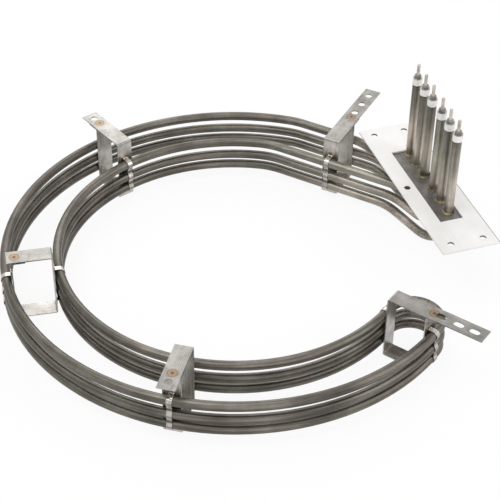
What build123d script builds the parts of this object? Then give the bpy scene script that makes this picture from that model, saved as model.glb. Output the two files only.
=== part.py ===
"""Tubular heating element: three sheathed elements wound as a double ring round a fan.

Each element is one bent tube. It drops from a terminal leg, runs under the mounting
flange, sweeps round the outer ring, turns back in a U and follows the inner ring home
to a second leg. Five folded straps stand between the two rings and carry them on wavy
clips. The origin is the centre of the flange on its upper face, +X points away from the
rings, +Y runs along the flange and +Z points along the terminals.
"""

from build123d import *
import os
from math import acos, cos, degrees, radians, sin, sqrt

# ---------------------------------------------------------------- driving dimensions (mm)

# sheath tube and what is packed inside it
tube_diameter = 8.0
tube_wall = 0.7
core_diameter = 3.0          # cold pin, and the envelope of the wound resistance coil
packing_gap = 0.05           # between the packed insulation and what it touches

# the double ring
ring_reach = 177.3           # flange centre to ring centre, along X
ring_offset = -2.3           # ring centre from the flange centre, along Y
outer_radius = 195.0
inner_radius = 151.0
level_drop = 46.0            # lowest tubes below the flange's upper face
lower_pitch = 11.1           # lower to middle tubes
upper_pitch = 13.3           # middle to upper tubes
turn_azimuth = 308.3         # where the outer ring ends and the U-turns start
run_azimuth = 42.6           # normal of the straight runs that lead to the flange
outer_run_inset = 4.0        # the runs pass this much inside their rings' tangents
inner_run_inset = 6.0
run_blend_radius = 60.0

# past the foot of its blend, each run goes straight before it turns towards its leg
outer_upper_run = 26.0
outer_middle_run = 50.0
outer_lower_run = 50.0
inner_upper_run = 92.0
inner_middle_run = 84.5
inner_lower_run = 77.5
outer_swing_radius = 45.0
inner_swing_radius = 50.0
upper_leg_bend = 16.0
middle_leg_bend = 30.0
lower_leg_bend = 37.0

# terminal legs, in two groups of three
leg_pitch = 17.2
leg_group_gap = 20.6
leg_row_x = 4.5
leg_row_y = 4.5
leg_row_skew = 2.0           # degrees
leg_height = 72.5            # tube end above the flange

# mounting flange and the plate welded under its window
flange_length = 187.0
flange_width = 52.0
flange_thickness = 1.5
flange_corner_radius = 1.0
flange_hole_diameter = 5.5
end_hole_spacing_x = 29.5
end_hole_spacing_y = 167.0
middle_hole_spacing = 36.0
window_length = 107.0
window_width = 21.0
plate_length = 122.0
plate_width = 28.0
plate_thickness = 2.0
leg_hole_clearance = 0.1
braze_size = 1.3
braze_edge = 0.1             # braze to the window's edge

# terminals
pin_depth = 70.0             # cold pin inside the tube
pin_height = 19.9            # stud above the tube end
stud_tip = 0.6
bush_diameter = 8.6
bush_height = 6.2
bush_edge = 0.5
spigot_length = 4.0
seal_depth = 3.0
washer_diameter = 8.0
washer_thickness = 1.0
nut_size = 5.5               # across flats
nut_height = 2.4
bore_clearance = 0.1

# folded straps
strap_width = 15.0
strap_thickness = 1.0
strap_fold_radius = 1.2
strap_top = 0.0              # level with the flange's upper face
strap_drop = 59.5
grip_clearance = 0.1         # strap to tube
foot_length = 11.0
weld_diameter = 5.0
weld_gap = 0.1
round_hole = (6.5, 6.5)      # length and width
slot_hole = (9.0, 5.5)

# the strap across the straight runs
run_strap_slide = 16.0       # past the foot of the runs' blends
run_strap_inset = 4.0        # its inner face stands this much inside the ring's
run_strap_twist = 1.5        # degrees
run_strap_reach = 59.6
run_strap_weld = 8.5
run_strap_holes = (16.7, 32.8, 49.2)

# the four straps across the rings, in order from the back round to the U-turns
back_strap_azimuth = 112.5
back_strap_twist = -2.5
back_strap_reach = 22.3
back_strap_weld = 5.0
back_strap_hole = 14.2
side_strap_azimuth = 177.0
side_strap_twist = -3.5
side_strap_reach = 3.0
side_strap_weld = -3.5
front_strap_azimuth = 237.7
front_strap_twist = -0.5
front_strap_reach = 13.8
front_strap_weld = -3.5
front_strap_hole = 6.2
turn_strap_azimuth = 305.9
turn_strap_twist = 0.5
turn_strap_reach = 48.0
turn_strap_weld = 2.7
turn_strap_slots = (9.0, 24.5, 38.5)

# wavy clips
clip_clearance = 0.2         # clip to tube
clip_width = 5.0
clip_thickness = 0.8
clip_valley_radius = 2.5
clip_foot_length = 3.5

# ------------------------------------------------------------------------ derived values

tube_radius = tube_diameter / 2
bore_radius = tube_radius - tube_wall
core_radius = core_diameter / 2
levels = {
    "upper": -level_drop + lower_pitch + upper_pitch,
    "middle": -level_drop + lower_pitch,
    "lower": -level_drop,
}
outer_runs = {"upper": outer_upper_run, "middle": outer_middle_run, "lower": outer_lower_run}
inner_runs = {"upper": inner_upper_run, "middle": inner_middle_run, "lower": inner_lower_run}
leg_bends = {"upper": upper_leg_bend, "middle": middle_leg_bend, "lower": lower_leg_bend}
insets = {outer_radius: outer_run_inset, inner_radius: inner_run_inset}
turn_radius = (outer_radius - inner_radius) / 2
plate_top = -flange_thickness


def around(radius, azimuth, height=0.0):
    """Point at a radius and azimuth about the ring's centre."""
    angle = radians(azimuth)
    return Vector(radius * cos(angle) - ring_reach, radius * sin(angle) + ring_offset, height)


def heading(azimuth):
    """Unit vector at an azimuth."""
    return Vector(cos(radians(azimuth)), sin(radians(azimuth)), 0)


def leg_place(number, height=0.0):
    """Axis of terminal leg 1 to 6, counted from the flange's +Y end."""
    side = 1 if number <= 3 else -1
    steps = 3 - number if number <= 3 else number - 4
    offset = side * (leg_group_gap / 2 + steps * leg_pitch)
    skew = radians(leg_row_skew)
    return Vector(leg_row_x + offset * sin(skew), leg_row_y + offset * cos(skew), height)


# ------------------------------------------------------------------------- element paths


def blend(radius):
    """Angle from the run's normal at which a ring's arc gives way to the blend."""
    lever = radius - run_blend_radius
    return degrees(acos((lever - insets[radius]) / lever))


def run_foot(radius, height):
    """Where the blend of a ring meets its straight run."""
    centre = around(radius - run_blend_radius, run_azimuth + blend(radius), height)
    return centre + heading(run_azimuth) * run_blend_radius


def run_corner(radius, length, height):
    """Corner at which a straight run turns towards its leg."""
    foot = around(radius - insets[radius], run_azimuth, height)
    return foot + heading(run_azimuth - 90) * length


def element_path(level, start_height, end_height):
    """Centre line of one element from its outer leg to its inner leg."""
    order = list(levels).index(level)
    height = levels[level]
    outer_leg, inner_leg = order + 1, order + 4
    bend = leg_bends[level]
    outer_corner = run_corner(outer_radius, outer_runs[level], height)
    inner_corner = run_corner(inner_radius, inner_runs[level], height)
    outer_blend, inner_blend = blend(outer_radius), blend(inner_radius)
    middle_radius = (outer_radius + inner_radius) / 2
    turn_tip = around(middle_radius, turn_azimuth, height) + heading(turn_azimuth + 90) * turn_radius
    with BuildLine() as line:
        FilletPolyline(
            leg_place(outer_leg, start_height),
            leg_place(outer_leg, height),
            outer_corner,
            run_foot(outer_radius, height),
            radius=(bend, outer_swing_radius),
        )
        blend_arc(outer_radius, outer_blend, height)
        ring_arc(outer_radius, outer_blend, height)
        ThreePointArc(
            around(outer_radius, turn_azimuth, height),
            turn_tip,
            around(inner_radius, turn_azimuth, height),
        )
        ring_arc(inner_radius, inner_blend, height)
        blend_arc(inner_radius, inner_blend, height)
        FilletPolyline(
            run_foot(inner_radius, height),
            inner_corner,
            leg_place(inner_leg, height),
            leg_place(inner_leg, end_height),
            radius=(inner_swing_radius, bend),
        )
    return line.wire()


def blend_arc(radius, angle, height):
    """Tighter arc between a ring and its straight run."""
    centre = around(radius - run_blend_radius, run_azimuth + angle, height)
    return ThreePointArc(
        centre + heading(run_azimuth) * run_blend_radius,
        centre + heading(run_azimuth + angle / 2) * run_blend_radius,
        around(radius, run_azimuth + angle, height),
    )


def ring_arc(radius, angle, height):
    """Long arc of a ring, from the blend round to the U-turn."""
    start = run_azimuth + angle
    return ThreePointArc(
        around(radius, start, height),
        around(radius, (start + turn_azimuth) / 2, height),
        around(radius, turn_azimuth, height),
    )


def swept(label, level, top_height, outside, inside=0.0):
    """Round bar or tube along an element, between legs of one height."""
    path = element_path(level, top_height, top_height)
    with BuildPart() as piece:
        with BuildSketch(Plane(origin=path @ 0, z_dir=path % 0)):
            Circle(outside)
            if inside:
                Circle(inside, mode=Mode.SUBTRACT)
        sweep(path=path)
    piece.part.label = label
    return piece.part


# ------------------------------------------------------------------------------ sub-parts


def make_elements():
    """Sheaths, packed insulation and resistance coils of the three elements."""
    fill_top = leg_height - spigot_length - seal_depth
    coil_top = leg_height - pin_depth
    pieces = []
    for level in levels:
        pieces.append(swept(f"sheath_{level}", level, leg_height, tube_radius, bore_radius))
        pieces.append(
            swept(
                f"insulation_{level}",
                level,
                fill_top,
                bore_radius - packing_gap,
                core_radius + packing_gap,
            )
        )
        pieces.append(swept(f"resistance_coil_{level}", level, coil_top, core_radius))
    return pieces


def make_terminal(number):
    """Cold pin, end seal, ceramic bush, washer and nut on one leg."""
    bore = core_radius + bore_clearance
    bush_base = leg_height
    washer_base = bush_base + bush_height
    nut_base = washer_base + washer_thickness

    with BuildPart() as pin:
        with BuildSketch(Plane(leg_place(number, leg_height - pin_depth))):
            Circle(core_radius)
        extrude(amount=pin_depth + pin_height)
        chamfer(pin.edges().sort_by(Axis.Z)[-1], stud_tip)
    pin.part.label = f"terminal_pin_{number}"

    with BuildPart() as seal:
        with BuildSketch(Plane(leg_place(number, leg_height - spigot_length - seal_depth))):
            Circle(bore_radius - packing_gap)
            Circle(core_radius + packing_gap, mode=Mode.SUBTRACT)
        extrude(amount=seal_depth)
    seal.part.label = f"end_seal_{number}"

    with BuildPart() as bush:
        with BuildSketch(Plane(leg_place(number, bush_base))):
            Circle(bush_diameter / 2)
        extrude(amount=bush_height)
        fillet(bush.edges().group_by(Axis.Z)[0], bush_edge)
        with BuildSketch(Plane(leg_place(number, bush_base - spigot_length))):
            Circle(bore_radius - packing_gap)
        extrude(amount=spigot_length + bush_height / 2)
        with BuildSketch(Plane(leg_place(number, bush_base - spigot_length))):
            Circle(bore)
        extrude(amount=spigot_length + bush_height, mode=Mode.SUBTRACT)
    bush.part.label = f"ceramic_bush_{number}"

    with BuildPart() as washer:
        with BuildSketch(Plane(leg_place(number, washer_base))):
            Circle(washer_diameter / 2)
            Circle(bore, mode=Mode.SUBTRACT)
        extrude(amount=washer_thickness)
    washer.part.label = f"terminal_washer_{number}"

    with BuildPart() as nut:
        with BuildSketch(Plane(leg_place(number, nut_base))):
            RegularPolygon(radius=nut_size / 2, side_count=6, major_radius=False)
            Circle(bore, mode=Mode.SUBTRACT)
        extrude(amount=nut_height)
    nut.part.label = f"terminal_nut_{number}"

    return [pin.part, seal.part, bush.part, washer.part, nut.part]


def make_flange():
    """Flat flange with a window for the legs and six screw holes."""
    with BuildPart() as flange:
        with BuildSketch(Plane.XY.offset(-flange_thickness)):
            RectangleRounded(flange_width, flange_length, flange_corner_radius)
            Rectangle(window_width, window_length, mode=Mode.SUBTRACT)
            with GridLocations(end_hole_spacing_x, end_hole_spacing_y, 2, 2):
                Circle(flange_hole_diameter / 2, mode=Mode.SUBTRACT)
            with GridLocations(middle_hole_spacing, 0, 2, 1):
                Circle(flange_hole_diameter / 2, mode=Mode.SUBTRACT)
        extrude(amount=flange_thickness)
    flange.part.label = "flange_plate"
    return flange.part


def make_terminal_plate():
    """Plate under the window, with one hole for each leg."""
    with BuildPart() as plate:
        with BuildSketch(Plane.XY.offset(plate_top - plate_thickness)):
            Rectangle(plate_width, plate_length)
            with Locations([leg_place(number) for number in range(1, 7)]):
                Circle(tube_radius + leg_hole_clearance, mode=Mode.SUBTRACT)
        extrude(amount=plate_thickness)
    plate.part.label = "terminal_plate"
    return plate.part


def make_braze_rings():
    """Braze fillets where the six legs leave the plate."""
    with BuildPart() as rings:
        for number in range(1, 7):
            centre = leg_place(number, plate_top)
            with BuildSketch(Plane(centre)):
                Circle(tube_radius + braze_size)
            extrude(amount=braze_size, taper=45)
            with BuildSketch(Plane(centre)):
                Circle(tube_radius)
            extrude(amount=braze_size, mode=Mode.SUBTRACT)
        with BuildSketch(Plane.XY.offset(plate_top)):
            Rectangle(window_width - 2 * braze_edge, window_length - 2 * braze_edge)
        extrude(amount=braze_size, mode=Mode.INTERSECT)
    rings.part.label = "braze_rings"
    return rings.part


# ------------------------------------------------------------------------------- brackets

# Each strap: azimuth of its middle, its turn from the radial, its reach past the outer
# face, the side its foot folds to, the weld and the holes' places past the outer face,
# and the holes' length and width.
brackets = {
    1: dict(azimuth=run_azimuth, twist=run_strap_twist, reach=run_strap_reach, foot=1,
            weld=run_strap_weld, holes=run_strap_holes, size=round_hole),
    2: dict(azimuth=back_strap_azimuth, twist=back_strap_twist, reach=back_strap_reach, foot=1,
            weld=back_strap_weld, holes=(back_strap_hole,), size=round_hole),
    3: dict(azimuth=side_strap_azimuth, twist=side_strap_twist, reach=side_strap_reach, foot=-1,
            weld=side_strap_weld, holes=(), size=round_hole),
    4: dict(azimuth=front_strap_azimuth, twist=front_strap_twist, reach=front_strap_reach, foot=-1,
            weld=front_strap_weld, holes=(front_strap_hole,), size=round_hole),
    5: dict(azimuth=turn_strap_azimuth, twist=turn_strap_twist, reach=turn_strap_reach, foot=1,
            weld=turn_strap_weld, holes=turn_strap_slots, size=slot_hole),
}
face_room = (strap_width / 2) ** 2 / (2 * (outer_radius - tube_radius))

inner_run_play = inner_run_inset - run_strap_inset
outer_run_play = run_strap_inset - outer_run_inset


def slant(number):
    """Room a twisted strap needs at its edges to clear the tubes beside it."""
    return strap_width / 2 * sin(radians(abs(brackets[number]["twist"])))


def loop_depth(number):
    """Outside depth of a strap's loop, from its inner face to its outer face."""
    gap = outer_radius - inner_radius - tube_diameter
    return gap - face_room - 2 * (grip_clearance + slant(number))


def bracket_plane(number, height=0.0):
    """Frame of a strap: X outward from its inner face, Y along the tubes, Z up."""
    spec = brackets[number]
    inner_face = inner_radius + tube_radius + grip_clearance + slant(number)
    if number == 1:
        base = around(inner_face - run_strap_inset, run_azimuth, height)
        base += heading(run_azimuth - 90) * run_strap_slide
    else:
        base = around(inner_face, spec["azimuth"], height)
    outward = heading(spec["azimuth"] + spec["twist"])
    return Plane(origin=base, x_dir=outward, z_dir=(0, 0, 1))


def upright(plane):
    """The strap's middle plane, with X outward and Y up."""
    return Plane(origin=plane.origin, x_dir=plane.x_dir, z_dir=-plane.y_dir)


def make_bracket(number):
    """Closed loop folded from one strap, spot welded at its foot."""
    spec = brackets[number]
    half = strap_thickness / 2
    top = strap_top - half
    bottom = strap_top - strap_drop + half
    under = top - strap_thickness - weld_gap
    depth = loop_depth(number)
    foot_end = depth - half + spec["foot"] * foot_length
    plane = bracket_plane(number)
    fold = strap_fold_radius
    with BuildPart() as bracket:
        with BuildSketch(upright(plane)):
            with BuildLine() as outline:
                FilletPolyline(
                    (depth + spec["reach"], top),
                    (half, top),
                    (half, bottom),
                    (depth - half, bottom),
                    (depth - half, under),
                    (foot_end, under),
                    radius=fold,
                )
                offset(amount=half, side=Side.BOTH)
            make_face()
        extrude(amount=strap_width / 2, both=True)
        with BuildSketch(plane.offset(top)):
            with Locations([(depth + spec["weld"], 0)]):
                Circle(weld_diameter / 2)
        extrude(amount=-strap_thickness - weld_gap)
        length, width = spec["size"]
        for place in spec["holes"]:
            with BuildSketch(plane.offset(strap_top)):
                with Locations([(depth + place, 0)]):
                    if length > width:
                        SlotOverall(length, width)
                    else:
                        Circle(width / 2)
            extrude(amount=-strap_thickness - weld_gap / 2, mode=Mode.SUBTRACT)
    bracket.part.label = f"bracket_{number}"
    return bracket.part


def make_clip(number, side):
    """Wavy clip round the three tubes of one ring, held on the strap by its two feet."""
    outer = side == "outer"
    sense = 1 if outer else -1
    face = loop_depth(number) if outer else 0.0
    half = clip_thickness / 2
    reach = tube_radius + clip_clearance + half
    room = face_room if outer else 0.0
    if number == 1:
        room += outer_run_play if outer else inner_run_play
    axis = face + sense * (tube_radius + grip_clearance + slant(number) + room)
    flat = face + sense * half
    tops = levels["upper"] + reach
    bottoms = levels["lower"] - reach
    plane = bracket_plane(number)
    with BuildPart() as clip:
        with BuildSketch(upright(plane)):
            with BuildLine() as spine:
                Polyline((flat, tops + clip_foot_length), (flat, tops), (axis, tops))
                waves(axis, sense, reach)
                Polyline((axis, bottoms), (flat, bottoms), (flat, bottoms - clip_foot_length))
                offset(amount=half, side=Side.BOTH)
            make_face()
        extrude(amount=clip_width / 2, both=True)
    clip.part.label = f"{side}_clip_{number}"
    return clip.part


def waves(axis, sense, reach):
    """Arcs round the outsides of the three tubes, joined by valleys between them."""
    centres = [levels["upper"], levels["middle"], levels["lower"]]
    start = Vector(axis, centres[0] + reach)
    for above, below in zip(centres, centres[1:]):
        middle = (above + below) / 2
        spread = reach + clip_valley_radius
        stand = sqrt(spread**2 - ((above - below) / 2) ** 2)
        valley = Vector(axis + sense * stand, middle)
        leave = Vector(axis, above) + (valley - Vector(axis, above)) * (reach / spread)
        arrive = Vector(axis, below) + (valley - Vector(axis, below)) * (reach / spread)
        crest = Vector(axis, above) + ((start + leave) / 2 - Vector(axis, above)).normalized() * reach
        ThreePointArc(start, crest, leave)
        ThreePointArc(leave, valley - Vector(sense * clip_valley_radius, 0), arrive)
        start = arrive
    last = Vector(axis, centres[-1])
    end = last - Vector(0, reach)
    crest = last + ((start + end) / 2 - last).normalized() * reach
    ThreePointArc(start, crest, end)


# -------------------------------------------------------------------------------- output


def main():
    """Build every piece and write one STEP file for each."""
    pieces = make_elements()
    for number in range(1, 7):
        pieces += make_terminal(number)
    pieces += [make_flange(), make_terminal_plate(), make_braze_rings()]
    for number in brackets:
        pieces.append(make_bracket(number))
        pieces.append(make_clip(number, "outer"))
        pieces.append(make_clip(number, "inner"))
    os.makedirs("parts", exist_ok=True)
    for piece in pieces:
        export_step(piece, f"parts/{piece.label}.step")


main()
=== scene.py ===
"""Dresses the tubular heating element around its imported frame.

The frame holds every solid of the heater. This script gives each of them its finish,
puts threaded studs, chamfered nuts, run braze and spring clips in place of the plain
solids, and sets the floor, the lamps and the camera. All sizes are in metres.
"""

from __future__ import annotations

import logging
from dataclasses import dataclass, field
from enum import Enum
from math import asin, cos, pi, radians, sin, sqrt
from typing import Any, Sequence

import bpy
import numpy as np
from mathutils import Matrix, Vector

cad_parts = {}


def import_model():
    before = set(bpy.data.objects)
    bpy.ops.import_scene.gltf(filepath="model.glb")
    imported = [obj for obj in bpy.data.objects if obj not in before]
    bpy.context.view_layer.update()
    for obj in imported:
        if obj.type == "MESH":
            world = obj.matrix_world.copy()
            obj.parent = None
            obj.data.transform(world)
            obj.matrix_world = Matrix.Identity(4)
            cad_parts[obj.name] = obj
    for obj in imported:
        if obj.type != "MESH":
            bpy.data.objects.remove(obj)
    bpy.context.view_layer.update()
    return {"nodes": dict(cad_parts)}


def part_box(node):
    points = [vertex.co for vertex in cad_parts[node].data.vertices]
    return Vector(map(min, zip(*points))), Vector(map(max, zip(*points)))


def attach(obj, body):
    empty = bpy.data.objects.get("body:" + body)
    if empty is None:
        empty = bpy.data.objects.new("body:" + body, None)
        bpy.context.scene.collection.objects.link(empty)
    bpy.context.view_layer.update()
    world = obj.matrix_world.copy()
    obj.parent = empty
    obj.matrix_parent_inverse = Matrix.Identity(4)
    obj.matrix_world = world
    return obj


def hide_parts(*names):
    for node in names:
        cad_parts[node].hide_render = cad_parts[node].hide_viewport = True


LOG = logging.getLogger("heating_element")
MM = 0.001
BODY = "root"
LEGS = range(1, 7)
HAIR = 0.02 * MM    # keeps faces that would coincide just apart

Colour = tuple[float, float, float]
Place = tuple[float, float, float]


class Slot(Enum):
    """Material slots of the record, by name."""

    STUD = "stud"
    FASTENER = "fastener"
    BRAZE = "braze"
    CLIP = "clip"


class Ring(Enum):
    """The two rings, by the side of the strap that their clips stand on."""

    OUTER = 1
    INNER = -1


# ------------------------------------------------------------------------------- layout


@dataclass(frozen=True)
class RingLayout:
    """Where the rings and the straight runs lie."""

    centre: tuple[float, float, float] = (-177.3 * MM, -2.3 * MM, 0.0)
    outer_radius: float = 195.0 * MM
    inner_radius: float = 151.0 * MM
    tube_radius: float = 4.0 * MM
    levels: tuple[float, float, float] = (-21.6 * MM, -34.9 * MM, -46.0 * MM)
    run_azimuth: float = 42.6
    outer_run_inset: float = 4.0 * MM
    inner_run_inset: float = 6.0 * MM

    def around(self, radius: float, azimuth: float) -> np.ndarray:
        """Returns the point at a radius and an azimuth in degrees about the centre."""
        return np.array(self.centre) + radius * heading(azimuth)


def heading(azimuth: float) -> np.ndarray:
    """Returns the level unit vector at an azimuth in degrees."""
    return np.array([cos(radians(azimuth)), sin(radians(azimuth)), 0.0])


@dataclass(frozen=True)
class StrapSeat:
    """Where one folded strap stands between the rings."""

    number: int
    azimuth: float
    twist: float
    weld: float
    hole: float | None = None
    slide: float = 0.0
    inset: float = 0.0
    width: float = 15.0 * MM
    grip: float = 0.1 * MM
    foot_height: float = -1.6 * MM

    @property
    def turn(self) -> float:
        """Direction of the strap's top, in radians."""
        return radians(self.azimuth + self.twist)

    @property
    def slant(self) -> float:
        """Room that the strap's twist needs at its edges."""
        return self.width / 2 * sin(radians(abs(self.twist)))

    def face_room(self, layout: RingLayout) -> float:
        """Room that the outer ring's curve needs in front of a flat face."""
        return (self.width / 2) ** 2 / (2 * (layout.outer_radius - layout.tube_radius))

    def depth(self, layout: RingLayout) -> float:
        """Outside depth of the strap's loop."""
        gap = layout.outer_radius - layout.inner_radius - 2 * layout.tube_radius
        return gap - self.face_room(layout) - 2 * (self.grip + self.slant)

    def point(self, layout: RingLayout, outward: float, height: float = 0.0) -> np.ndarray:
        """Returns a point on the strap's middle line.

        Args:
            layout: the rings.
            outward: distance from the inner face, along the strap's direction.
            height: the point's height.
        """
        inner_face = layout.inner_radius + layout.tube_radius + self.grip + self.slant - self.inset
        base = layout.around(inner_face, self.azimuth) + heading(self.azimuth - 90) * self.slide
        return base + heading(self.azimuth + self.twist) * outward + np.array([0.0, 0.0, height])

    def weld_point(self, layout: RingLayout) -> Place:
        """Returns the place of the spot weld on the strap's top."""
        return tuple(self.point(layout, self.depth(layout) + self.weld))

    def hole_point(self, layout: RingLayout) -> Place | None:
        """Returns the place just under the hole nearest to the weld, if there is one."""
        if self.hole is None:
            return None
        return tuple(self.point(layout, self.depth(layout) + self.hole, self.foot_height))

    def face(self, layout: RingLayout, ring: Ring) -> float:
        """Distance from the inner face to the face that one ring's clip stands on."""
        return self.depth(layout) if ring is Ring.OUTER else 0.0

    def tube_stand(self, layout: RingLayout, ring: Ring) -> float:
        """Distance from the clip's face to the axes of one ring's tubes."""
        stand = layout.tube_radius + self.grip + self.slant
        if ring is Ring.OUTER:
            play = self.inset - layout.outer_run_inset if self.slide else 0.0
            return stand + self.face_room(layout) + play
        return stand + (layout.inner_run_inset - self.inset if self.slide else 0.0)


LAYOUT = RingLayout()
STRAPS = (
    StrapSeat(1, LAYOUT.run_azimuth, 1.5, 8.5 * MM, slide=16.0 * MM, inset=4.0 * MM),
    StrapSeat(2, 112.5, -2.5, 5.0 * MM),
    StrapSeat(3, 177.0, -3.5, -3.5 * MM),
    StrapSeat(4, 237.7, -0.5, -3.5 * MM, hole=6.2 * MM),
    StrapSeat(5, 305.9, 0.5, 2.7 * MM, hole=8.0 * MM),
)


# ------------------------------------------------------------------------------ shaders


class Graph:
    """A small writer of one material's node tree."""

    def __init__(self, name: str) -> None:
        """Starts a material with an empty tree and its output.

        Args:
            name: the material's name.
        """
        self.material = bpy.data.materials.new(name)
        self.material.use_nodes = True
        self.tree = self.material.node_tree
        self.tree.nodes.clear()
        self.output = self.tree.nodes.new("ShaderNodeOutputMaterial")

    def add(self, kind: str, **settings: Any) -> bpy.types.Node:
        """Adds a node and sets its plain properties.

        Args:
            kind: the node's type name without its "ShaderNode" prefix.
            **settings: property values by name.

        Returns:
            The new node.
        """
        node = self.tree.nodes.new(f"ShaderNode{kind}")
        for key, value in settings.items():
            setattr(node, key, value)
        return node

    def join(self, source: Any, target: Any) -> None:
        """Links two sockets, or sets the second where the first is a plain value.

        Args:
            source: an output socket, a number or a tuple.
            target: an input socket.
        """
        if isinstance(source, bpy.types.NodeSocket):
            self.tree.links.new(source, target)
        else:
            target.default_value = source

    def place(self) -> Any:
        """Returns the object's own coordinates, in metres."""
        return self.add("TexCoord").outputs["Object"]

    def noise(self, scale: float, detail: float = 3.0, where: Any = None,
              rough: float = 0.55, fourth: Any = None) -> Any:
        """Adds fractal noise.

        Args:
            scale: features per metre.
            detail: octaves.
            where: coordinates, or None for the object's own.
            rough: weight of the finer octaves.
            fourth: a fourth coordinate, or None for plain solid noise.

        Returns:
            The noise value's socket.
        """
        node = self.add("TexNoise")
        if fourth is not None:
            node.noise_dimensions = "4D"
            self.join(fourth, node.inputs["W"])
        self.join(where if where is not None else self.place(), node.inputs["Vector"])
        self.join(scale, node.inputs["Scale"])
        self.join(detail, node.inputs["Detail"])
        self.join(rough, node.inputs["Roughness"])
        return node.outputs["Fac"]

    def stretched(self, scale: Sequence[float], turn: float = 0.0) -> Any:
        """Returns the object's coordinates turned about Z and then scaled per axis.

        Args:
            scale: factors along the turned X, Y and Z.
            turn: angle in radians that brings the pattern's X axis onto +X.
        """
        turned = self.add("Mapping", vector_type="POINT")
        self.join(self.place(), turned.inputs["Vector"])
        turned.inputs["Rotation"].default_value = (0.0, 0.0, -turn)
        scaled = self.add("Mapping", vector_type="POINT")
        self.join(turned.outputs["Vector"], scaled.inputs["Vector"])
        scaled.inputs["Scale"].default_value = tuple(scale)
        return scaled.outputs["Vector"]

    def ramp(self, value: Any, stops: Sequence[tuple[float, Colour]]) -> Any:
        """Maps a value to a colour through a ramp.

        Args:
            value: the socket that drives the ramp.
            stops: places and colours, in order.

        Returns:
            The colour socket.
        """
        node = self.add("ValToRGB")
        bar = node.color_ramp
        while len(bar.elements) < len(stops):
            bar.elements.new(0.5)
        for element, (spot, colour) in zip(bar.elements, stops):
            element.position = spot
            element.color = (*colour, 1.0)
        self.join(value, node.inputs["Fac"])
        return node.outputs["Color"]

    def span(self, value: Any, low: float, high: float,
             to_low: float = 0.0, to_high: float = 1.0) -> Any:
        """Maps a value from one range to another and clamps it.

        Args:
            value: the socket to map.
            low: value that becomes to_low.
            high: value that becomes to_high.
            to_low: result at low.
            to_high: result at high.

        Returns:
            The mapped value's socket.
        """
        node = self.add("MapRange", clamp=True)
        self.join(value, node.inputs["Value"])
        limits = {"From Min": low, "From Max": high, "To Min": to_low, "To Max": to_high}
        for key, number in limits.items():
            self.join(number, node.inputs[key])
        return node.outputs["Result"]

    def maths(self, operation: str, first: Any, second: Any = 0.0) -> Any:
        """Adds a math node.

        Args:
            operation: the node's operation.
            first: first value or socket.
            second: second value or socket.

        Returns:
            The result's socket.
        """
        node = self.add("Math", operation=operation)
        self.join(first, node.inputs[0])
        self.join(second, node.inputs[1])
        return node.outputs["Value"]

    def blend(self, amount: Any, first: Any, second: Any, mode: str = "MIX") -> Any:
        """Mixes two colours.

        Args:
            amount: share of the second colour, a number or socket.
            first: first colour or socket.
            second: second colour or socket.
            mode: the mix's blend type.

        Returns:
            The mixed colour's socket.
        """
        node = self.add("Mix", data_type="RGBA", blend_type=mode)
        self.join(amount, node.inputs["Factor"])
        for socket, colour in zip((node.inputs[6], node.inputs[7]), (first, second)):
            self.join((*colour, 1.0) if isinstance(colour, tuple) else colour, socket)
        return node.outputs[2]

    def vector(self, operation: str, first: Any, second: Any = (0.0, 0.0, 0.0)) -> Any:
        """Adds a vector node and returns its result, a number where the operation gives one.

        Args:
            operation: the node's operation.
            first: first vector or socket.
            second: second vector or socket.
        """
        node = self.add("VectorMath", operation=operation)
        self.join(first, node.inputs[0])
        self.join(second, node.inputs[1])
        single = operation in ("DOT_PRODUCT", "LENGTH", "DISTANCE")
        return node.outputs["Value" if single else "Vector"]

    def parts(self, value: Any) -> tuple[Any, Any, Any]:
        """Returns the X, Y and Z of a vector."""
        node = self.add("SeparateXYZ")
        self.join(value, node.inputs[0])
        return node.outputs["X"], node.outputs["Y"], node.outputs["Z"]

    def whole(self, x: Any, y: Any, z: Any) -> Any:
        """Returns the vector of three numbers or sockets."""
        node = self.add("CombineXYZ")
        for socket, value in zip(node.inputs, (x, y, z)):
            self.join(value, socket)
        return node.outputs["Vector"]

    def mix(self, amount: Any, first: Any, second: Any) -> Any:
        """Returns first where amount is 0 and second where it is 1."""
        change = self.maths("SUBTRACT", second, first)
        return self.maths("ADD", first, self.maths("MULTIPLY", amount, change))

    def weighted(self, first: Any, share: float, second: Any) -> Any:
        """Adds two numbers, the first by its share and the second by the rest."""
        return self.maths("ADD", self.maths("MULTIPLY", first, share),
                          self.maths("MULTIPLY", second, round(1.0 - share, 6)))

    def height(self) -> Any:
        """Returns the object's own Z."""
        return self.parts(self.place())[2]

    def brighten(self, colour: Any, factor: Any) -> Any:
        """Multiplies a colour by a number."""
        node = self.add("VectorMath", operation="SCALE")
        self.join(colour, node.inputs[0])
        self.join(factor, node.inputs["Scale"])
        return node.outputs["Vector"]

    def distance(self, centre: Sequence[float], wobble: float = 0.0) -> Any:
        """Distance from a point, in metres, made uneven by noise.

        Args:
            centre: the point.
            wobble: how far the noise moves the distance, in metres.
        """
        away = self.vector("DISTANCE", self.place(), tuple(centre))
        if not wobble:
            return away
        uneven = self.maths("SUBTRACT", self.noise(420.0, 2.0), 0.5)
        return self.maths("ADD", away, self.maths("MULTIPLY", uneven, 2.0 * wobble))

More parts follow.
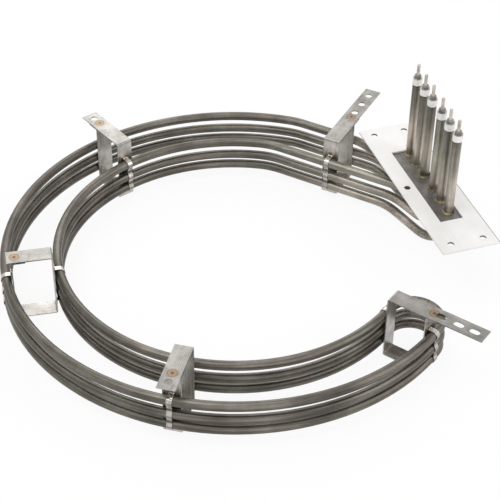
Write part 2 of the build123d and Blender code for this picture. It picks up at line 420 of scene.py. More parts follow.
    def finish(self, colour: Any, metallic: float, roughness: Any,
               bump: Any = None, depth: float = 0.0) -> bpy.types.Material:
        """Closes the tree with a principled surface.

        Args:
            colour: base colour's socket.
            metallic: how metallic it is.
            roughness: number or socket.
            bump: height socket, or None.
            depth: the bump's height, in metres.

        Returns:
            The finished material.
        """
        shader = self.add("BsdfPrincipled")
        self.join(colour, shader.inputs["Base Color"])
        self.join(metallic, shader.inputs["Metallic"])
        self.join(roughness, shader.inputs["Roughness"])
        if bump is not None:
            relief = self.add("Bump")
            self.join(bump, relief.inputs["Height"])
            relief.inputs["Distance"].default_value = depth
            relief.inputs["Strength"].default_value = 1.0
            self.join(relief.outputs["Normal"], shader.inputs["Normal"])
        self.join(shader.outputs["BSDF"], self.output.inputs["Surface"])
        return self.material


# ----------------------------------------------------------------------------- finishes


@dataclass(frozen=True)
class OxidisedTube:
    """Annealed and oxidised sheath: streaks along the tube, paler where it stays cold, and painted light
    on the legs.
    """

    name: str = "oxidised_tube"
    layout: RingLayout = LAYOUT
    dark: Colour = (0.054, 0.050, 0.045)
    middle: Colour = (0.118, 0.111, 0.100)
    rubbed: Colour = (0.245, 0.232, 0.214)
    olive: Colour = (0.94, 0.95, 0.87)
    rosy: Colour = (1.06, 0.99, 0.95)
    sealant: Colour = (0.150, 0.042, 0.026)
    scorch: Colour = (0.060, 0.042, 0.028)
    roughness: float = 0.36
    across_scale: float = 620.0
    along_scale: float = 14.0
    leg_foot: float = -6.0 * MM
    leg_top: float = 72.5 * MM
    run_side: float = 60.0 * MM
    cold_from: float = -60.0 * MM
    cold_to: float = 50.0 * MM
    cold_gain: float = 2.2
    # Brightening of the legs, from the top down: paler cold sheath and painted light.
    leg_cold_and_light_gain: tuple[float, float] = (1.5, 3.1)
    pit_depth: float = 0.04 * MM

    def streaks(self, graph: Graph) -> tuple[Any, Any, Any]:
        """Noise that is long along the tube, and masks of the runs and of the legs.

        On the rings the pattern is a function of the distance from the ring's centre and
        of the height, on the runs of the distance from a line through that centre, and on
        the legs of X and Y, each with a slow change along the tube.

        Args:
            graph: the material's graph.

        Returns:
            The noise, the runs' mask, which grows towards the legs, and the legs' mask.
        """
        x, y, z = graph.parts(graph.place())
        centred = graph.vector("SUBTRACT", graph.whole(x, y, 0.0), self.layout.centre)
        ahead = graph.vector("DOT_PRODUCT", centred, tuple(heading(self.layout.run_azimuth - 90)))
        aside = graph.vector("DOT_PRODUCT", centred, tuple(heading(self.layout.run_azimuth)))
        on_side = graph.maths("GREATER_THAN", aside, self.run_side)
        on_run = graph.maths("MULTIPLY", graph.maths("GREATER_THAN", ahead, 0.0), on_side)
        lane = graph.mix(on_run, graph.vector("LENGTH", centred), aside)
        low, high = self.along_scale, self.across_scale
        level = graph.whole(graph.maths("MULTIPLY", x, low), graph.maths("MULTIPLY", y, low),
                            graph.maths("MULTIPLY", lane, high))
        flat = graph.noise(1.0, 4.0, level, 0.6, graph.maths("MULTIPLY", z, high))
        upright = graph.noise(1.0, 4.0, graph.stretched((0.5 * high, 0.5 * high, low)), 0.5)
        on_leg = graph.maths("GREATER_THAN", z, self.leg_foot)
        cold = graph.maths("MULTIPLY", on_side, graph.span(ahead, self.cold_from, self.cold_to))
        return graph.mix(on_leg, flat, upright), cold, on_leg

    def make(self) -> bpy.types.Material:
        """Builds the material: streaks, tinted patches, cold ends, painted light on the legs, seal marks
        and pits.
        """
        graph = Graph(self.name)
        streak, cold, on_leg = self.streaks(graph)
        patches = graph.noise(26.0, 5.0, rough=0.6)
        specks = graph.noise(1500.0, 2.0)
        mixed = graph.weighted(patches, 0.45, streak)
        colour = graph.ramp(mixed, ((0.33, self.dark), (0.50, self.middle), (0.68, self.rubbed)))
        tint = graph.blend(graph.span(graph.noise(17.0, 3.0), 0.38, 0.62), self.olive, self.rosy)
        colour = graph.blend(1.0, colour, tint, "MULTIPLY")
        colour = graph.blend(graph.span(specks, 0.54, 0.74, 0.0, 0.30), colour, self.dark)
        z = graph.height()
        # The legs are brightened, partly for their paler cold sheath and partly as painted light, less
        # so towards their tops.
        leg_cold_and_light = graph.span(z, self.leg_top - 4.0 * MM, 26.0 * MM, *self.leg_cold_and_light_gain)
        by_cold = graph.span(cold, 0.0, 1.0, 1.0, self.cold_gain)
        colour = graph.brighten(colour, graph.mix(on_leg, by_cold, leg_cold_and_light))
        rim = graph.span(z, self.leg_top - 1.6 * MM, self.leg_top - 0.8 * MM)
        mark = graph.maths("MULTIPLY", rim, graph.span(graph.noise(150.0, 2.0), 0.50, 0.58))
        colour = graph.blend(graph.maths("MULTIPLY", mark, 0.85), colour, self.sealant)
        foot = graph.maths("MULTIPLY", on_leg, graph.span(z, 2.0 * MM, 7.0 * MM, 0.75, 0.0))
        foot = graph.maths("MULTIPLY", foot, graph.span(graph.noise(110.0, 3.0), 0.40, 0.60))
        colour = graph.blend(foot, colour, self.scorch)
        roughness = graph.span(streak, 0.3, 0.7, self.roughness - 0.06, self.roughness + 0.12)
        return graph.finish(colour, 0.85, roughness, specks, self.pit_depth)


@dataclass(frozen=True)
class FoldedSteel:
    """Mill-finish strap with rolling lines and rings of heat tint round its weld."""

    name: str
    turn: float
    weld: Place
    shaded: Place | None = None
    steel: Colour = (0.47, 0.45, 0.42)
    pale: Colour = (0.64, 0.615, 0.575)
    grey: Colour = (0.31, 0.30, 0.285)
    # Colour of the painted shade on the foot seen through a hole.
    stain: Colour = (0.27, 0.235, 0.195)
    hole_shade: Colour = (0.105, 0.095, 0.085)
    heart: Colour = (0.125, 0.078, 0.055)
    mild: Colour = (0.270, 0.205, 0.150)
    straw: Colour = (0.290, 0.190, 0.080)
    roughness: float = 0.30
    # Share of the colour left on the strap's top by its painted shade.
    top_shade_share: float = 0.62
    tint_radius: float = 5.0 * MM
    shade_radius: float = 3.2 * MM
    line_depth: float = 0.03 * MM

    def make(self) -> bpy.types.Material:
        """Builds the material: lines, mottling and stains, painted shade on the top, rings of tint,
        painted shade inside one hole.
        """
        graph = Graph(self.name)
        lines = graph.noise(1.0, 4.0, graph.stretched((22.0, 1700.0, 22.0), self.turn), 0.65)
        mottle = graph.noise(60.0, 5.0, rough=0.58)
        mixed = graph.weighted(lines, 0.45, mottle)
        colour = graph.ramp(mixed, ((0.38, self.grey), (0.50, self.steel), (0.62, self.pale)))
        stains = graph.noise(95.0, 4.0, graph.stretched((1.0, 1.5, 0.8), self.turn), rough=0.65)
        colour = graph.blend(graph.span(stains, 0.54, 0.70, 0.0, 0.65), colour, self.stain)
        # Painted shade: the top of the strap is made darker than its sides.
        top_shade = graph.span(graph.height(), -2.6 * MM, -1.4 * MM, 1.0, self.top_shade_share)
        colour = graph.brighten(colour, top_shade)
        away = graph.distance(self.weld, 0.7 * MM)
        stops = ((0.20, self.heart), (0.42, self.mild), (0.66, self.straw), (0.84, self.heart))
        tint = graph.ramp(graph.span(away, 0.0, self.tint_radius), stops)
        colour = graph.blend(graph.span(away, 3.6 * MM, 4.9 * MM, 0.95, 0.0), colour, tint)
        # Painted shade: the foot under the hole nearest the weld is darkened, as the real one lies in
        # shadow.
        if self.shaded is not None:
            inside = graph.span(graph.distance(self.shaded), self.shade_radius,
                                self.shade_radius + 0.2 * MM, 0.85, 0.0)
            colour = graph.blend(inside, colour, self.hole_shade)
        roughness = graph.span(lines, 0.3, 0.7, self.roughness - 0.08, self.roughness + 0.14)
        return graph.finish(colour, 0.9, roughness, lines, self.line_depth)


@dataclass(frozen=True)
class SpringClip:
    """Bright spring strip, browned by the spot weld at its upper foot."""

    name: str
    weld: Place
    turn: float
    bright: Colour = (0.60, 0.58, 0.54)
    dull: Colour = (0.36, 0.34, 0.31)
    scorch: Colour = (0.16, 0.085, 0.045)
    # Colour of the painted shade bands.
    band_shade: Colour = (0.10, 0.080, 0.062)
    crest_band: tuple[float, float] = (1.5 * MM, 0.60)
    dip_band: tuple[float, float] = (2.2 * MM, 0.90)
    roughness: float = 0.15

    def make(self) -> bpy.types.Material:
        """Builds the material: drawing lines, painted shade bands on crests and in dips, a browned weld.
        """
        graph = Graph(self.name)
        lines = graph.noise(1.0, 3.0, graph.stretched((60.0, 2600.0, 60.0), self.turn), 0.6)
        colour = graph.ramp(lines, ((0.36, self.dull), (0.62, self.bright)))
        z = graph.height()
        crests = LAYOUT.levels
        dips = [(above + below) / 2 for above, below in zip(crests, crests[1:])]
        bands = [(level, *self.crest_band) for level in crests]
        bands += [(level, *self.dip_band) for level in dips]
        # Painted shade: dark bands across the clip at each tube's crest and in each dip between tubes.
        for level, reach, share in bands:
            away = graph.maths("ABSOLUTE", graph.maths("SUBTRACT", z, level))
            band = graph.span(away, 0.45 * reach, reach, share, 0.0)
            colour = graph.blend(band, colour, self.band_shade)
        away = graph.distance(self.weld, 0.4 * MM)
        colour = graph.blend(graph.span(away, 1.1 * MM, 2.3 * MM, 0.9, 0.0), colour, self.scorch)
        roughness = graph.span(lines, 0.3, 0.7, self.roughness - 0.05, self.roughness + 0.12)
        return graph.finish(colour, 0.95, roughness)


@dataclass(frozen=True)
class SheetFlange:
    """Pale passivated sheet with painted shade on its hole walls and a dark band along one edge."""

    name: str = "flange_steel"
    sheet: Colour = (0.775, 0.762, 0.742)
    pale: Colour = (0.850, 0.840, 0.825)
    # Colour of the painted shade on the hole walls and of the dark band along the edge.
    dark: Colour = (0.070, 0.062, 0.055)
    corner_hole: Place = (14.75 * MM, 83.5 * MM, 0.0)
    middle_hole: Place = (18.0 * MM, 0.0, 0.0)
    hole_radius: float = 2.75 * MM
    edge: float = 26.0 * MM
    line_depth: float = 0.01 * MM

    def make(self) -> bpy.types.Material:
        """Builds the material: soft clouds, lines along Y, painted shade on the hole walls and a dark
        band along one edge.
        """
        graph = Graph(self.name)
        lines = graph.noise(1.0, 3.0, graph.stretched((1500.0, 18.0, 1500.0)), 0.6)
        clouds = graph.noise(24.0, 4.0)
        mixed = graph.weighted(lines, 0.4, clouds)
        colour = graph.ramp(mixed, ((0.40, self.sheet), (0.60, self.pale)))
        folded = graph.vector("ABSOLUTE", graph.vector("MULTIPLY", graph.place(), (1.0, 1.0, 0.0)))
        # Painted shade: the walls of the holes are coloured dark.
        for hole in (self.corner_hole, self.middle_hole):
            away = graph.vector("DISTANCE", folded, hole)
            rim = graph.span(away, self.hole_radius + HAIR, self.hole_radius + 0.12 * MM, 0.92, 0.0)
            colour = graph.blend(rim, colour, self.dark)
        # A dark band along the +X edge, 0.45 to 0.75 mm in from it.
        x, _, _ = graph.parts(graph.place())
        edge_band = graph.span(x, self.edge - 0.75 * MM, self.edge - 0.45 * MM, 0.0, 0.8)
        colour = graph.blend(edge_band, colour, self.dark)
        roughness = graph.span(lines, 0.3, 0.7, 0.42, 0.56)
        return graph.finish(colour, 0.12, roughness, lines, self.line_depth)


@dataclass(frozen=True)
class PlainMetal:
    """A metal in one family of tones, with soft mottling and a fine grain."""

    name: str
    low: Colour
    high: Colour
    metallic: float = 0.9
    roughness: float = 0.35
    patch_scale: float = 90.0
    grain_scale: float = 1800.0
    grain_depth: float = 0.02 * MM

    def make(self) -> bpy.types.Material:
        """Builds the material from two scales of noise."""
        graph = Graph(self.name)
        patches = graph.noise(self.patch_scale, 4.0)
        grain = graph.noise(self.grain_scale, 2.0)
        colour = graph.ramp(patches, ((0.36, self.low), (0.64, self.high)))
        roughness = graph.span(grain, 0.3, 0.7, self.roughness - 0.07, self.roughness + 0.10)
        return graph.finish(colour, self.metallic, roughness, grain, self.grain_depth)


@dataclass(frozen=True)
class GlazedBush:
    """Fired ceramic: off-white, with faint grey handling."""

    name: str = "fired_ceramic"
    clean: Colour = (0.84, 0.83, 0.80)
    soiled: Colour = (0.60, 0.57, 0.52)
    grain_depth: float = 0.02 * MM

    def make(self) -> bpy.types.Material:
        """Builds the material with faint soiling and a soft, uneven gloss."""
        graph = Graph(self.name)
        soil = graph.noise(260.0, 5.0, rough=0.6)
        colour = graph.ramp(soil, ((0.50, self.clean), (0.78, self.soiled)))
        roughness = graph.span(soil, 0.3, 0.7, 0.30, 0.45)
        return graph.finish(colour, 0.0, roughness, soil, self.grain_depth)


# ------------------------------------------------------------------------------- meshes


def mesh_object(name: str, points: np.ndarray, faces: Sequence[Sequence[int]] | np.ndarray,
                material: bpy.types.Material, smooth: bool = True) -> bpy.types.Object:
    """Puts points and faces into a new object that rides on the part.

    Args:
        name: the piece's name.
        points: N by 3 array, in metres.
        faces: lists of point numbers.
        material: the piece's material.
        smooth: whether its faces shade smoothly.

    Returns:
        The new object.
    """
    mesh = bpy.data.meshes.new(name)
    mesh.from_pydata(points.tolist(), [], [tuple(int(i) for i in face) for face in faces])
    mesh.materials.append(material)
    mesh.polygons.foreach_set("use_smooth", np.full(len(mesh.polygons), smooth))
    mesh.update()
    piece = bpy.data.objects.new(name, mesh)
    bpy.context.scene.collection.objects.link(piece)
    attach(piece, BODY)
    LOG.info("%s: %d faces", name, len(mesh.polygons))
    return piece


def grid_faces(rows: int, columns: int, offset: int = 0) -> np.ndarray:
    """Quads of a grid whose columns close on themselves: row i, column j to row i + 1, j + 1.

    Args:
        rows: rings of points, from the bottom up.
        columns: points in each ring, anticlockwise from above.
        offset: number of the first point.

    Returns:
        M by 4 array of quads.
    """
    row, column = np.meshgrid(np.arange(rows - 1), np.arange(columns), indexing="ij")
    after = (column + 1) % columns
    quads = np.stack([row * columns + column, row * columns + after,
                      (row + 1) * columns + after, (row + 1) * columns + column], axis=-1)
    return quads.reshape(-1, 4) + offset


def capped(rows: int, columns: int) -> list[list[int]]:
    """Faces of a closed barrel: its wall, and one face over each end.

    Args:
        rows: rings of points.
        columns: points in each ring.

    Returns:
        The faces as lists.
    """
    wall = grid_faces(rows, columns).tolist()
    bottom = [columns - 1 - i for i in range(columns)]
    top = [(rows - 1) * columns + i for i in range(columns)]
    return wall + [bottom, top]


def bridge(first: int, second: int, columns: int) -> list[list[int]]:
    """Quads from one ring of points up to another.

    Args:
        first: number of the first ring's first point.
        second: number of the second ring's first point.
        columns: points in each ring.

    Returns:
        The faces as lists.
    """
    here = np.arange(columns)
    after = (here + 1) % columns
    return np.stack([first + here, first + after, second + after, second + here], axis=-1).tolist()


def full_turn(columns: int) -> np.ndarray:
    """Returns evenly spaced angles round a circle, the first at +X."""
    return np.linspace(0.0, 2.0 * pi, columns, endpoint=False)


def barrel(radii: np.ndarray, heights: np.ndarray, centre: Vector) -> np.ndarray:
    """Points of a surface round a vertical axis: x = r cos t, y = r sin t.

    Args:
        radii: rows by columns array of radii.
        heights: rows by columns array of heights.
        centre: a point on the axis.

    Returns:
        Flat array of points.
    """
    turn = full_turn(radii.shape[1])[None, :]
    points = np.stack([centre.x + radii * np.cos(turn), centre.y + radii * np.sin(turn),
                       np.broadcast_to(heights, radii.shape)], axis=-1)
    return points.reshape(-1, 3)


def hoop(radius: float, height: float, centre: Vector, columns: int) -> np.ndarray:
    """Returns one level ring of points round a vertical axis."""
    return barrel(np.full((1, columns), radius), np.full((1, 1), height), centre)


def seat_of(node: str) -> tuple[Vector, Vector, Vector]:
    """Returns the lowest corner, the highest corner and the middle of a node."""
    low, high = (Vector(corner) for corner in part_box(node))
    return low, high, (low + high) / 2


# ------------------------------------------------------------------------ sub-assemblies


@dataclass
class TerminalSet:
    """Studs and nuts of the six legs."""

    thread_pitch: float = 0.5 * MM
    thread_depth: float = 0.26 * MM
    thread_start: float = 0.3 * MM
    steps_per_pitch: int = 8
    plain_shank: float = 2.0 * MM
    tip: float = 0.6 * MM
    columns: int = 32
    nut_columns: int = 72
    nut_rows: tuple[float, ...] = (0.0, 0.04, 0.10, 0.16, 0.22, 0.30, 0.5,
                                   0.70, 0.78, 0.84, 0.90, 0.96, 1.0)
    nut_bore: float = 1.6 * MM
    bore_chamfer: float = 0.25 * MM
    chamfer_start: float = 0.97
    chamfer_slope: float = 1.7
    stud_finish: PlainMetal = field(default_factory=lambda: PlainMetal(
        "stud_steel", (0.36, 0.325, 0.285), (0.54, 0.50, 0.45), 0.8, 0.42, 160.0))
    nut_finish: PlainMetal = field(default_factory=lambda: PlainMetal(
        "nut_steel", (0.16, 0.155, 0.145), (0.34, 0.33, 0.31), 0.85, 0.38, 200.0))

    def build(self) -> None:
        """Builds the six studs and nuts in place of their plain solids."""
        stud_material = self.stud_finish.make()
        nut_material = self.nut_finish.make()
        for number in LEGS:
            self.stud(number, stud_material)
            self.nut(number, nut_material)

    def stud(self, number: int, material: bpy.types.Material) -> None:
        """Carries a thread round the upper end of one cold pin.

        The radius is the pin's, less a triangle wave of height over pitch and turn, and
        falls away as a cone over the last of the tip.

        Args:
            number: the leg's number.
            material: the stud's material.
        """
        node = f"terminal_pin_{number}"
        low, high, centre = seat_of(node)
        radius = (high.x - low.x) / 2
        washer = seat_of(f"terminal_washer_{number}")[0].z
        steps = int((high.z - washer) / (self.thread_pitch / self.steps_per_pitch))
        threaded = np.linspace(washer, high.z, steps)
        heights = np.concatenate([[low.z, washer - self.plain_shank], threaded])[:, None]
        turn = np.linspace(0.0, 1.0, self.columns, endpoint=False)[None, :]
        phase = (heights / self.thread_pitch - turn) % 1.0
        wave = 1.0 - np.abs(2.0 * phase - 1.0)
        on_thread = np.clip((heights - washer) / self.thread_start, 0.0, 1.0)
        below_tip = np.clip((high.z - heights) / self.tip, 0.0, 1.0)
        radii = radius - self.thread_depth * wave * on_thread
        radii = np.minimum(radii, radius - self.tip * (1.0 - below_tip))
        piece = mesh_object(f"threaded_stud_{number}", barrel(radii, heights, centre),
                            capped(len(heights), self.columns), material)
        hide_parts(node)

    def nut(self, number: int, material: bpy.types.Material) -> None:
        """Cuts the corners of one hexagon nut back to its chamfer cones.

        The outer radius is the smaller of the hexagon's, half the flats over the cosine
        of the angle from the nearest flat, and a cone's that starts just outside the
        inscribed circle at each end.

        Args:
            number: the leg's number.
            material: the nut's material.
        """
        node = f"terminal_nut_{number}"
        low, high, centre = seat_of(node)
        flats = (high.y - low.y) / 2
        columns = self.nut_columns
        from_flat = (full_turn(columns)[None, :] + pi / 3) % (pi / 3) - pi / 6
        hexagon = flats / np.cos(from_flat)
        share = np.array(self.nut_rows)[:, None]
        from_end = np.minimum(share, 1.0 - share) * (high.z - low.z)
        cone = flats * self.chamfer_start + from_end * self.chamfer_slope
        wall = barrel(np.minimum(hexagon, cone), low.z + (high.z - low.z) * share, centre)
        bore, mouth = self.nut_bore, self.nut_bore + self.bore_chamfer
        points = np.concatenate([
            hoop(bore, low.z + self.bore_chamfer, centre, columns),
            hoop(mouth, low.z, centre, columns),
            wall,
            hoop(mouth, high.z, centre, columns),
            hoop(bore, high.z - self.bore_chamfer, centre, columns)])
        rows = len(points) // columns
        faces = grid_faces(rows, columns).tolist() + bridge((rows - 1) * columns, 0, columns)
        piece = mesh_object(f"hexagon_nut_{number}", points, faces, material, smooth=False)
        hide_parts(node)


@dataclass
class BrazeWork:
    """Run braze round the legs where they leave the plate."""

    spread: float = 1.7 * MM
    rise: float = 1.5 * MM
    columns: int = 64
    rows: int = 9
    finish: PlainMetal = field(default_factory=lambda: PlainMetal(
        "run_braze", (0.075, 0.060, 0.042), (0.26, 0.205, 0.115), 0.7, 0.45, 150.0))

    def build(self) -> None:
        """Builds the six uneven fillets as one piece in place of their plain solids."""
        window = Window()
        fillets = [self.fillet(number, window) for number in LEGS]
        size = (self.rows + 1) * self.columns
        faces: list[list[int]] = []
        for first in range(0, size * len(LEGS), size):
            top, inner = first + (self.rows - 1) * self.columns, first + self.rows * self.columns
            faces += grid_faces(self.rows, self.columns, first).tolist()
            faces += bridge(top, inner, self.columns) + bridge(inner, first, self.columns)
        piece = mesh_object("braze_fillets", np.concatenate(fillets), faces,
                            self.finish.make())
        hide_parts("braze_rings")

    def fillet(self, number: int, window: Window) -> np.ndarray:
        """Points of one fillet: its hollow outside from the bottom up, then its inner ring.

        The outside leaves the tube as a quarter circle, r = tube + spread (1 - sqrt(1 -
        (1 - s)^2)) for s from 0 at the plate to 1 at the top. The spread and the rise both
        change round the leg as two sine waves, and the window's edge cuts the spread off.

        Args:
            number: the leg's number.
            window: the opening that the braze stays in.

        Returns:
            Flat array of points.
        """
        plate_top = seat_of("terminal_plate")[1].z
        centre = seat_of(f"terminal_pin_{number}")[2]
        turn = full_turn(self.columns)
        waves = 0.22 * np.sin(2 * turn + number) + 0.12 * np.sin(5 * turn + 2.3 * number)
        wobble = 1.0 + waves[None, :]
        share = np.linspace(0.0, 1.0, self.rows)[:, None]
        tube = LAYOUT.tube_radius
        radii = tube + HAIR + self.spread * wobble * (1.0 - np.sqrt(1.0 - (1.0 - share) ** 2))
        radii = np.minimum(radii, window.reach(centre, turn)[None, :])
        heights = plate_top + HAIR + self.rise * (0.8 + 0.2 * wobble) * share
        inner = hoop(tube, plate_top, centre, self.columns)
        return np.concatenate([barrel(radii, heights, centre), inner])


@dataclass
class Window:
    """The flange's opening, as far as braze may run."""

    width: float = 21.0 * MM
    length: float = 107.0 * MM
    margin: float = 0.1 * MM

    @staticmethod
    def wall(ahead: np.ndarray, half: float, start: float) -> np.ndarray:
        """Distance to the wall at plus or minus half, along directions of a given share.

        Args:
            ahead: share of each direction that points at the walls.
            half: distance of each wall from the middle.
            start: where the directions start.

        Returns:
            The distances.
        """
        return np.abs((np.sign(ahead) * half - start) / np.where(np.abs(ahead) < 1e-6, 1e-6, ahead))

    def reach(self, centre: Vector, turn: np.ndarray) -> np.ndarray:
        """Distance from a leg's axis to the window's edge in each direction.

        Args:
            centre: the leg's axis.
            turn: directions, in radians.

        Returns:
            The distances.
        """
        across = self.wall(np.cos(turn), self.width / 2 - self.margin, centre.x)
        along = self.wall(np.sin(turn), self.length / 2 - self.margin, centre.y)
        return np.minimum(across, along)


# ------------------------------------------------------------------------------- set up


@dataclass(frozen=True)
class Softbox:
    """One square lamp: its place, side and power in watts."""

    name: str
    place: Place
    size: float
    power: float


@dataclass
class Studio:
    """Pale floor, soft lamps and the camera."""

    position: Place = (-0.46834, -0.88803, 0.72968)
    aim: Place = (-0.16226, 0.00143, -0.03588)
    roll: float = radians(0.887)
    lens: float = 100.8
    sensor: float = 36.0
    floor_colour: Colour = (0.93, 0.93, 0.93)
    floor_glow: float = 0.90
    floor_size: float = 12.0
    ground: float = -59.5 * MM
    backdrop: float = 1.0
    ambient: float = 0.55
    softboxes: tuple[Softbox, ...] = (
        Softbox("key_softbox", (-0.8, -0.2, 2.0), 1.3, 16.0),
        Softbox("fill_softbox", (1.3, -1.0, 1.1), 1.4, 10.0),
        Softbox("front_softbox", (-0.5, -1.6, 0.45), 1.2, 5.0),
        Softbox("rim_softbox", (0.9, 1.6, 0.9), 1.2, 1.5),
        Softbox("back_softbox", (-0.1, 0.8, 0.5), 0.6, 2.0),
    )

    def build(self) -> None:
        """Sets the camera, the floor, the world and the lamps."""
        scene = bpy.context.scene
        scene.view_settings.view_transform = "Standard"
        self.camera(scene)
        self.floor()
        self.world(scene)
        for softbox in self.softboxes:
            self.lamp(softbox)

    def towards_aim(self, place: Place) -> Matrix:
        """Returns the placing of a camera or lamp that looks from a place at the aim."""
        sight = Vector(self.aim) - Vector(place)
        return Matrix.Translation(place) @ sight.to_track_quat("-Z", "Y").to_matrix().to_4x4()

    def camera(self, scene: bpy.types.Scene) -> None:
        """Puts the camera at its place, looking at the middle of the rings.

        Args:
            scene: the scene that gets the camera.
        """
        data = bpy.data.cameras.new("camera")
        data.lens = self.lens
        data.sensor_width = self.sensor
        camera = bpy.data.objects.new("camera", data)
        scene.collection.objects.link(camera)
        camera.matrix_world = self.towards_aim(self.position) @ Matrix.Rotation(self.roll, 4, "Z")
        scene.camera = camera

    def floor(self) -> None:
        """Lays a pale floor that the camera sees nearly white and that keeps shadows."""
        half = self.floor_size / 2
        points = np.array([(-half, -half, self.ground), (half, -half, self.ground),
                           (half, half, self.ground), (-half, half, self.ground)])
        mesh = bpy.data.meshes.new("floor")
        mesh.from_pydata(points.tolist(), [], [(0, 1, 2, 3)])
        graph = Graph("pale_floor")
        matt = graph.add("BsdfDiffuse")
        matt.inputs["Color"].default_value = (*self.floor_colour, 1.0)
        glow = graph.add("Emission")
        glow.inputs["Color"].default_value = (1.0, 1.0, 1.0, 1.0)
        glow.inputs["Strength"].default_value = 1.0
        path = graph.add("LightPath")
        seen = graph.maths("MAXIMUM", path.outputs["Is Camera Ray"], path.outputs["Is Glossy Ray"])
        seen = graph.maths("MAXIMUM", seen, path.outputs["Is Transmission Ray"])
        share = graph.maths("MULTIPLY", seen, self.floor_glow)
        mix = graph.add("MixShader")
        graph.join(share, mix.inputs["Fac"])
        graph.join(matt.outputs["BSDF"], mix.inputs[1])
        graph.join(glow.outputs["Emission"], mix.inputs[2])
        graph.join(mix.outputs["Shader"], graph.output.inputs["Surface"])
        mesh.materials.append(graph.material)
        floor = bpy.data.objects.new("floor", mesh)
        bpy.context.scene.collection.objects.link(floor)

    def world(self, scene: bpy.types.Scene) -> None:
        """Surrounds the part with white for the camera and a plain soft light.

        Args:
            scene: the scene that gets the world.
        """
        world = bpy.data.worlds.new("studio")
        scene.world = world
        world.use_nodes = True
        tree = world.node_tree
        tree.nodes.clear()
        output = tree.nodes.new("ShaderNodeOutputWorld")
        background = tree.nodes.new("ShaderNodeBackground")
        background.inputs["Color"].default_value = (1.0, 1.0, 1.0, 1.0)
        path = tree.nodes.new("ShaderNodeLightPath")
        seen = path.outputs["Is Camera Ray"]
        for kind in ("Is Glossy Ray", "Is Transmission Ray"):
            either = tree.nodes.new("ShaderNodeMath")
            either.operation = "MAXIMUM"
            tree.links.new(seen, either.inputs[0])
            tree.links.new(path.outputs[kind], either.inputs[1])
            seen = either.outputs["Value"]
        strength = tree.nodes.new("ShaderNodeMapRange")
        tree.links.new(seen, strength.inputs["Value"])
        strength.inputs["To Min"].default_value = self.ambient
        strength.inputs["To Max"].default_value = self.backdrop
        tree.links.new(strength.outputs["Result"], background.inputs["Strength"])
        tree.links.new(background.outputs["Background"], output.inputs["Surface"])

    def lamp(self, softbox: Softbox) -> None:
        """Adds one softbox that faces the part.

        Args:
            softbox: the lamp's settings.
        """
        data = bpy.data.lights.new(softbox.name, "AREA")
        data.shape = "SQUARE"
        data.size = softbox.size
        data.energy = softbox.power
        lamp = bpy.data.objects.new(softbox.name, data)
        bpy.context.scene.collection.objects.link(lamp)
        lamp.matrix_world = self.towards_aim(softbox.place)


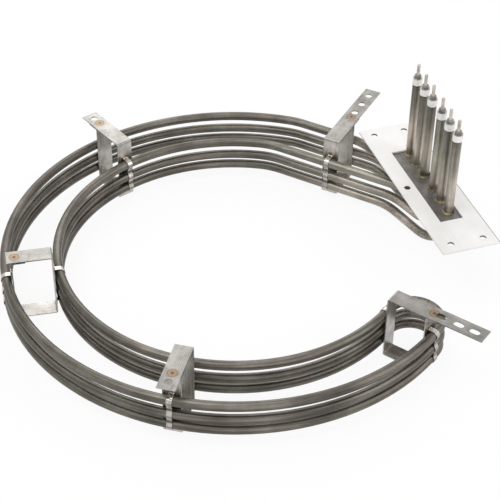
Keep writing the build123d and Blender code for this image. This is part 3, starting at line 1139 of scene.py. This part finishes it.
@dataclass
class SpringClips:
    """Wavy strips that hold the three tubes of each ring against a strap."""

    width: float = 4.6 * MM
    thickness: float = 0.55 * MM
    clearance: float = 0.15 * MM
    valley: float = 8.0 * MM
    foot: float = 3.4 * MM
    fold: float = 0.9 * MM
    bevel: float = 0.28
    arc_step: float = radians(7.5)
    weld_drop: float = 1.4 * MM

    def build(self) -> None:
        """Builds the ten clips in place of their plain solids."""
        for strap in STRAPS:
            for ring in Ring:
                self.clip(strap, ring)

    def arc(self, centre: tuple[float, float], radius: float, start: float, end: float) -> np.ndarray:
        """Points of an arc: centre + radius (cos t, sin t), t from start to end in radians."""
        turn = np.linspace(start, end, max(4, int(abs(end - start) / self.arc_step)))
        return np.stack([centre[0] + radius * np.cos(turn), centre[1] + radius * np.sin(turn)], axis=-1)

    def spine(self, strap: StrapSeat, ring: Ring) -> np.ndarray:
        """Middle line of a clip in its upright plane, as outward distance and height.

        It runs down the foot, folds out to the top of the upper tube, follows each tube's
        outside as an arc, dips into each gap on a smaller arc tangent to its neighbours,
        and folds back to the lower foot.

        Args:
            strap: the strap that carries the clip.
            ring: the ring that it holds.

        Returns:
            N by 2 array.
        """
        half = self.thickness / 2
        reach = LAYOUT.tube_radius + self.clearance + half
        stand = strap.tube_stand(LAYOUT, ring)
        tops, bottoms = LAYOUT.levels[0] + reach, LAYOUT.levels[-1] - reach
        seat = half + HAIR
        rows = [np.array([[seat, tops + self.foot]]),
                self.arc((seat + self.fold, tops + self.fold), self.fold, pi, 1.5 * pi)]
        start = pi / 2
        for above, below in zip(LAYOUT.levels, LAYOUT.levels[1:]):
            middle = (above + below) / 2
            lean = asin((above - below) / 2 / (reach + self.valley))
            valley = stand + sqrt((reach + self.valley) ** 2 - ((above - below) / 2) ** 2)
            rows.append(self.arc((stand, above), reach, start, -lean))
            rows.append(self.arc((valley, middle), self.valley, pi - lean, pi + lean)[1:-1])
            start = lean
        rows.append(self.arc((stand, LAYOUT.levels[-1]), reach, start, -pi / 2))
        rows.append(self.arc((seat + self.fold, bottoms - self.fold), self.fold, pi / 2, pi))
        rows.append(np.array([[seat, bottoms - self.foot]]))
        line = np.concatenate(rows)
        return np.stack([strap.face(LAYOUT, ring) + ring.value * line[:, 0], line[:, 1]], axis=-1)

    def clip(self, strap: StrapSeat, ring: Ring) -> None:
        """Carries a rounded flat section along the spine of one clip.

        Each point is the spine's, plus the section's width along the tubes and its
        thickness along the spine's normal.

        Args:
            strap: the strap that carries the clip.
            ring: the ring that it holds.
        """
        line = self.spine(strap, ring)
        along = np.gradient(line, axis=0)
        along /= np.linalg.norm(along, axis=1, keepdims=True)
        normal = np.stack([-along[:, 1], along[:, 0]], axis=-1)
        edge = self.thickness * self.bevel
        wide, thick = self.width / 2, self.thickness / 2
        section = np.array([(-wide, -thick + edge), (-wide + edge, -thick),
                            (wide - edge, -thick), (wide, -thick + edge),
                            (wide, thick - edge), (wide - edge, thick),
                            (-wide + edge, thick), (-wide, thick - edge)])[None]
        flat = line[:, None, :] + normal[:, None, :] * section[..., 1:]
        outward = heading(strap.azimuth + strap.twist)
        across = heading(strap.azimuth + strap.twist + 90)
        upward = np.array([0.0, 0.0, 1.0])
        points = (strap.point(LAYOUT, 0.0) + flat[..., :1] * outward
                  + section[..., :1] * across + flat[..., 1:] * upward)
        name = ring.name.lower()
        weld = strap.point(LAYOUT, strap.face(LAYOUT, ring), line[0, 1] - self.weld_drop)
        finish = SpringClip(f"{name}_clip_steel_{strap.number}", tuple(weld), strap.turn)
        piece = mesh_object(f"{name}_spring_clip_{strap.number}", points.reshape(-1, 3),
                            capped(len(line), section.shape[1]), finish.make(), False)
        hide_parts(f"{name}_clip_{strap.number}")


@dataclass
class HeatingElement:
    """Finishes of the solids that stay as they are."""

    def dress(self, nodes: dict[str, bpy.types.Object]) -> None:
        """Gives every node of the frame its material.

        Args:
            nodes: the frame's objects by node name.
        """
        wire = PlainMetal("resistance_alloy", (0.30, 0.29, 0.28), (0.42, 0.41, 0.40), 0.9, 0.4, 200.0)
        washer = PlainMetal("washer_steel", (0.26, 0.25, 0.235), (0.50, 0.49, 0.47), 0.85, 0.30, 200.0)
        plate = PlainMetal("plate_steel", (0.13, 0.125, 0.115), (0.23, 0.22, 0.205), 0.8, 0.45, 60.0)
        seal = PlainMetal("sealing_compound", (0.16, 0.045, 0.028), (0.28, 0.10, 0.06), 0.0, 0.55, 300.0)
        fill = PlainMetal("packed_oxide", (0.78, 0.77, 0.73), (0.86, 0.85, 0.82), 0.0, 0.8, 200.0)
        made = {
            ("sheath",): OxidisedTube().make(),
            ("insulation",): fill.make(),
            ("resistance_coil", "terminal_pin", "outer_clip", "inner_clip"): wire.make(),
            ("end_seal",): seal.make(),
            ("ceramic_bush",): GlazedBush().make(),
            ("terminal_washer", "terminal_nut"): washer.make(),
            ("flange_plate",): SheetFlange().make(),
            ("terminal_plate", "braze_rings"): plate.make(),
        }
        for strap in STRAPS:
            finish = FoldedSteel(f"strap_steel_{strap.number}", strap.turn,
                                 strap.weld_point(LAYOUT), strap.hole_point(LAYOUT))
            made[(f"bracket_{strap.number}",)] = finish.make()
        for name, node in sorted(nodes.items()):
            node.data.materials.clear()
            material = next(value for starts, value in made.items() if name.startswith(starts))
            node.data.materials.append(material)
        LOG.info("dressed %d nodes", len(nodes))


def main() -> None:
    """Builds the dressed heater in its studio."""
    logging.basicConfig(level=logging.INFO, format="%(name)s: %(message)s")
    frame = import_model()
    HeatingElement().dress(frame["nodes"])
    TerminalSet().build()
    BrazeWork().build()
    SpringClips().build()
    Studio().build()


if __name__ == "__main__":
    main()
